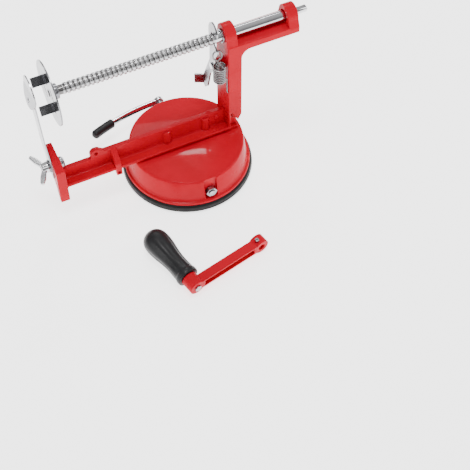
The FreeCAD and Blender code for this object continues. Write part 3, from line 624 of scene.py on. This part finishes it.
def build_spindle():
    """Rolled right-hand thread that runs out into a polished shank and a flatted stub."""
    pitch, first, last, run_out = 4.2, -107.0, 32.4, 3.0
    root, crest, shank, neck, stub, flat = 4.2, 5.05, 4.67, 3.4, 3.25, 2.75
    nose, collar, shoulder, end = -118.4, -110.0, 110.5, 122.4
    steps, slice_gap = 56, 0.28
    flat_from, hair = shoulder + 0.6, 0.02

    def radius(x, angle):
        """The rod's radius at a place along it and an angle from the top."""
        if x < collar:
            return neck
        if x > flat_from:
            return min(stub, flat / max(0.01, math.cos(angle)))
        if x > shoulder:
            return stub
        wave = math.cos(2 * math.pi * ((x - first) / pitch - angle / (2 * math.pi)))
        lobe = clamp(0.95 + 1.35 * wave)
        lobe = lobe * lobe * (3 - 2 * lobe)
        fade = clamp((x - first) / run_out) * clamp((last - x) / run_out)
        base = root + (shank - root) * clamp((x - last + run_out) / run_out)
        return base + (crest - root) * lobe * fade

    def ring(x, scale=1.0, fixed=None):
        """A ring of points round the rod; a fixed radius makes it round."""
        points = []
        for i in range(steps):
            angle = 2 * math.pi * i / steps
            size = fixed if fixed is not None else radius(x, angle) * scale
            y, z = -size * math.sin(angle), size * math.cos(angle)
            points.append(Vector((x * MM, SPINDLE.y + y * MM, SPINDLE.z + z * MM)))
        return points

    count = int((last - first) / slice_gap)
    stations = [nose + 0.6, collar - 0.01, collar + 0.01, first - 0.2]
    stations += [first + (last - first) * i / count for i in range(count + 1)]
    stations += [last + 1.0, 60.0, 80.0, 95.0, shoulder - 0.4]
    rows = [ring(nose, fixed=neck - 0.6)]
    rows += [ring(x) for x in stations]
    rows += [ring(shoulder, fixed=shank - 0.4), ring(shoulder + 0.01, fixed=stub)]
    rows += [ring(x) for x in (flat_from - hair, flat_from + hair, end - 0.8)]
    rows.append(ring(end, scale=0.78))
    rod = piece("threaded_spindle", from_grid(rows), "spindle_rod", 50)
    rod.data.materials.append(grooved("chrome_thread", root + 0.02, root + 0.30))
    for face in rod.data.polygons:
        if face.center.x < last * MM:
            face.material_index = 1


def build_holder():
    """The disc's hub, the pronged disc, and the bush in the front lug."""
    low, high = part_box("holder_washer")
    left, right, inner, outer = low[0] / MM, high[0] / MM, 3.48, 6.8
    hub = fillet([(inner, left, 0.2), (outer, left, 0.5), (outer, right, 0.9), (inner, right, 0.3)])
    piece("holder_hub", lathe_ring(hub, 56, along_x(SPINDLE)), "holder_washer")
    piece("pronged_disc", softened("holder_disc", 0.22), "holder_disc", SHEET_ANGLE)
    piece("bush_ring", softened("front_bush", 0.3), "front_bush", SHEET_ANGLE)


# ---------------------------------------------------------------------- blade


def build_blade():
    """The slit blade, its washer, and the domed bolt that they turn on."""
    piece("slit_blade", softened("spiral_blade", 0.2), "spiral_blade", SHEET_ANGLE)
    piece("plain_washer", softened("bolt_washer", 0.2), "bolt_washer", SHEET_ANGLE)

    low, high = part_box("blade_bolt")
    tip, dome = low[0] / MM, high[0] / MM
    seat = dome - 3.8
    shank = [(0.0, tip, 0), (2.2, tip, 0.3), (2.5, tip + 0.6, 0), (2.5, seat, 0.1)]
    head = [(5.5, seat, 0.3), (5.3, dome - 1.6, 1.0), (3.6, dome, 1.6), (0.0, dome, 0)]
    piece("domed_bolt", lathe(fillet(shank + head), 56, along_x(BOLT)), "blade_bolt", 30)


def build_wing_nut():
    """Round hub and two wings that flare away from the plate, in one skin."""
    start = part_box("wing_nut")[1][0] / MM
    end = start - 6.6
    hub = fillet([
        (0.0, start, 0), (5.4, start, 0.4), (5.2, start - 1.6, 0.6), (4.4, end, 0.9), (0.0, end, 0)])
    outline = fillet([
        (0.6, 1.0, 0), (2.6, 3.8, 1.5), (6.4, 12.8, 5.0), (10.6, 18.5, 1.2), (13.0, 16.0, 1.2),
        (10.4, 8.8, 6.0), (6.0, 1.0, 0)])
    centre = sum(outline, Vector((0, 0))) / len(outline)
    layers = ((-1.25, 0.9), (-0.9, 1.0), (0.9, 1.0), (1.25, 0.9))
    wings = []
    for side in (-1, 1):
        rows = []
        for lift, shrink in layers:
            row = []
            for point in outline:
                across, out = centre + (point - centre) * shrink
                row.append(Vector((start - across, BOLT.y / MM + side * out, BOLT.z / MM + lift)) * MM)
            rows.append(row)
        wings.append(from_grid(rows))
    bore_radius, past = 2.45, 2.0
    bore = lathe([(bore_radius, start - 8.0), (bore_radius, start + past)], 40, along_x(BOLT))
    blank = remeshed(join(lathe(hub, 48, along_x(BOLT)), *wings), voxel=0.24, rounds=5)
    piece("winged_nut", carve(blank, [bore]), "wing_nut", 50)


# ----------------------------------------------------- release lever and spring


def build_release():
    """The thin release lever with its thumb tab, and the rivet that it turns on."""
    piece("release_plate", softened("release_lever", 0.25), "release_lever", SHEET_ANGLE)
    piece("pivot_rivet", softened("lever_pivot", 0.4, 3), "lever_pivot", SHEET_ANGLE)


def build_spring():
    """Extension spring: hook at the frame, coil, and a leaning loop at the lever."""
    x, y, wire, radius, turns = 32.6, -5.8, 0.75, 5.2, 8.2
    low, high = 103.2, 121.1
    hook_x, hook_z, drop_x = 43.1, 84.4, 39.6
    loop, loop_y, loop_z, lean = 4.4, -1.9, 130.2, math.radians(19.0)
    coil_steps, loop_steps = 28, 34

    points = [
        (hook_x, y, hook_z), (drop_x + 0.9, y, hook_z), (drop_x + 0.1, y, hook_z + 0.7),
        (drop_x, y, hook_z + 2.2), (drop_x, y, low - 4.0), (drop_x - 0.3, y, low - 1.2),
        (drop_x - 1.0, y, low - 0.2)]
    count = int(turns * coil_steps)
    for i in range(count + 1):
        angle = 2 * math.pi * i / coil_steps
        across, back = radius * math.cos(angle), radius * math.sin(angle)
        points.append((x + across, y - back, low + (high - low) * i / count))
    last = points[-1]
    foot = (x, loop_y - loop * math.sin(lean), loop_z - loop * math.cos(lean))
    points.append((last[0] * 0.6 + foot[0] * 0.4, last[1] * 0.5 + foot[1] * 0.5, high + 1.6))
    points.append((foot[0] - 1.2, foot[1], foot[2] - 0.9))
    for i in range(2, loop_steps - 1):
        angle = 2 * math.pi * i / loop_steps
        side, rise = loop * math.sin(angle), -loop * math.cos(angle)
        points.append((x + side, loop_y + rise * math.sin(lean), loop_z + rise * math.cos(lean)))

    thing = stand_in("coil_spring", wire_through(points, wire), "spring_steel", 60)
    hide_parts("return_spring")
    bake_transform(thing)


# ---------------------------------------------------------------------- crank


def build_crank():
    """The loose crank: arm, set screw, grip pin, and the fluted pear-shaped grip."""
    piece("crank_casting", remeshed(NODES["crank_arm"].data.copy(), voxel=0.3, rounds=5), "crank_arm", 60)
    piece("slotted_screw", softened("crank_set_screw", 0.2), "crank_set_screw", SHEET_ANGLE)
    piece("grip_pin", softened("grip_rivet", 0.6, 3), "grip_rivet", SHEET_ANGLE)

    yaw, tilt = math.radians(13.2), math.radians(2.48)
    spot = Matrix.Translation(Vector((-52.5, -141.4, 9.66)) * MM)
    lay = spot @ Matrix.Rotation(yaw, 4, "Z") @ Matrix.Rotation(tilt, 4, "X")
    start, length, pin_hole = 13.4, 58.6, 2.56
    flutes, flute_depth = 8, 0.42

    def flute(angle, height):
        """Shallow hollows that die out towards both ends."""
        along = (height - start) / length
        depth = flute_depth * clamp((along - 0.08) / 0.12) * clamp((0.86 - along) / 0.2)
        return -depth * (0.5 + 0.5 * math.cos(flutes * angle)) ** 2

    # (radius, distance along the grip)
    knots = [
        (9.2, 0.0), (10.0, 0.35), (10.3, 1.2), (10.4, 3.0), (10.2, 4.6), (9.75, 6.2), (9.6, 10.0),
        (9.35, 16.0), (9.6, 22.0), (10.4, 29.0), (11.4, 35.0), (12.0, 41.0), (12.1, 45.5),
        (11.6, 50.0), (10.1, 53.6), (7.4, 56.6), (3.8, 58.2), (0.05, length)]
    outline = [(pin_hole, start), *spline_through([(r, start + h) for r, h in knots], 4)]
    piece("pear_grip", lathe(outline, 96, lay @ Z_TO_Y, flute), "crank_grip", 40)


# ------------------------------------------------------------ stage and camera


def build_floor():
    """White floor that gives off light of its own."""
    bpy.ops.mesh.primitive_plane_add(size=FLOOR_SIZE, location=(0, 0, -FLOOR_DROP))
    floor = bpy.context.object
    floor.name = "studio_floor"
    made, tree, bsdf = shader("studio_white")
    bsdf.inputs["Base Color"].default_value = (0.95, 0.95, 0.95, 1)
    bsdf.inputs["Roughness"].default_value = 0.9
    bsdf.inputs["Specular IOR Level"].default_value = 0.1
    bsdf.inputs["Emission Color"].default_value = (1, 1, 1, 1)
    bsdf.inputs["Emission Strength"].default_value = FLOOR_GLOW
    floor.data.materials.append(made)


def build_world():
    """Grey surroundings that are lighter overhead."""
    world = bpy.data.worlds.new("studio")
    bpy.context.scene.world = world
    world.use_nodes = True
    sky = world.node_tree
    where = sky.nodes.new("ShaderNodeTexCoord")
    axis = sky.nodes.new("ShaderNodeVectorMath")
    axis.operation = "DOT_PRODUCT"
    axis.inputs[1].default_value = Vector(WORLD_UP).normalized()
    sky.links.new(where.outputs["Generated"], axis.inputs[0])
    glow = ramp(sky, axis.outputs["Value"], WORLD_DARK, WORLD_LIGHT, 0.0, 1.0)
    sky.links.new(glow, sky.nodes["Background"].inputs["Color"])
    sky.nodes["Background"].inputs["Strength"].default_value = 1.0


def build_softbox(name, spot, aim, size, power):
    """A rectangular area light that points at a place."""
    light = bpy.data.lights.new(name, "AREA")
    light.shape = "RECTANGLE"
    light.size, light.size_y = size
    light.energy = power
    thing = bpy.data.objects.new(name, light)
    bpy.context.scene.collection.objects.link(thing)
    thing.location = spot
    thing.rotation_euler = (Vector(aim) - Vector(spot)).to_track_quat("-Z", "Y").to_euler()


def build_camera():
    """Camera that looks down on the object from its front left."""
    lens = bpy.data.cameras.new("camera")
    camera = bpy.data.objects.new("camera", lens)
    bpy.context.scene.collection.objects.link(camera)
    lens.sensor_width = SENSOR_MM
    lens.lens = LENS_MM
    camera.location = CAMERA_SPOT
    camera.rotation_euler = (math.radians(90 - CAMERA_DOWN), 0, math.radians(CAMERA_TURN))
    bpy.context.scene.camera = camera


build_floor()
build_world()
for softbox in SOFTBOXES:
    build_softbox(*softbox)
build_camera()
build_base()
build_lever()
build_shaft_end()
build_casting()
build_spindle()
build_holder()
build_blade()
build_wing_nut()
build_release()
build_spring()
build_crank()
for node in ("cup_stud", "base_screws"):
    dress(NODES[node], SLOT_OF[node])
